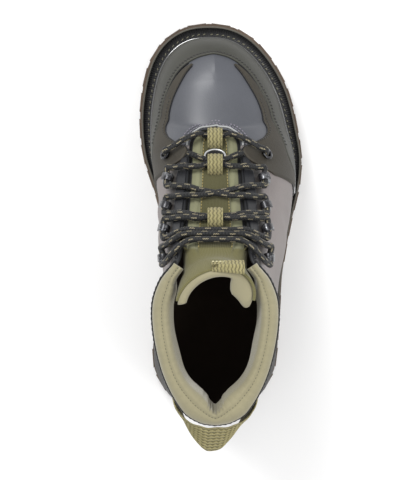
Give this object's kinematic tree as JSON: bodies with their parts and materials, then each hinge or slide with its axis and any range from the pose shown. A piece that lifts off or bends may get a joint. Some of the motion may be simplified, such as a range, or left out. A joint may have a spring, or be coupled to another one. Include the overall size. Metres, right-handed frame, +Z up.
{
  "type": "wading boot",
  "caption": "Right wading boot, ankle high, laced with hooks over a padded tongue, with a lugged sole and a heel pull loop.",
  "frame": {"origin": "centre of the bottom of the boot's box, on the floor that the sole stands on", "axes": "+Y from heel to toe, +X to the lateral side of this right boot, +Z up"},
  "size_m": [0.1264, 0.3146, 0.19],
  "materials": {
    "outsole_rubber": "matte brown-olive lugged rubber",
    "midsole_foam": "matte dark moulded foam rubber",
    "welt_rubber": "satin black rubber with light stitching",
    "insole_fabric": "dark brushed fabric",
    "upper_leather": "mauve-grey nubuck-like synthetic leather",
    "overlay_leather": "dark olive-grey fine-grain synthetic leather",
    "lining_fabric": "sage knitted padded lining",
    "tongue_fabric": "olive woven fabric",
    "webbing": "tan ribbed webbing",
    "hardware": "dark enamelled steel with worn light edges",
    "lace": "black round braid with cream flecks"
  },
  "bodies": {
    "root": {"collar_pad": "lining_fabric", "eyelet_lateral": "hardware", "eyelet_medial": "hardware", "heel_counter": "overlay_leather", "heel_loop": "webbing", "hook_1_lateral": "hardware", "hook_1_medial": "hardware", "hook_2_lateral": "hardware", "hook_2_medial": "hardware", "hook_3_lateral": "hardware", "hook_3_medial": "hardware", "hook_4_lateral": "hardware", "hook_4_medial": "hardware", "insole": "insole_fabric", "keeper_1": "webbing", "keeper_2": "webbing", "keeper_3": "webbing", "lace_1": "lace", "lace_2": "lace", "lace_3": "lace", "lace_4": "lace", "lace_5": "lace", "lace_6": "lace", "lace_7": "lace", "midsole": "midsole_foam", "outsole": "outsole_rubber", "overlay_lateral": "overlay_leather", "overlay_medial": "overlay_leather", "throat_piping": "webbing", "toe_rand": "overlay_leather", "tongue": "tongue_fabric", "tongue_pull": "webbing", "upper": "upper_leather", "welt": "welt_rubber"}
  },
  "joints": []
}
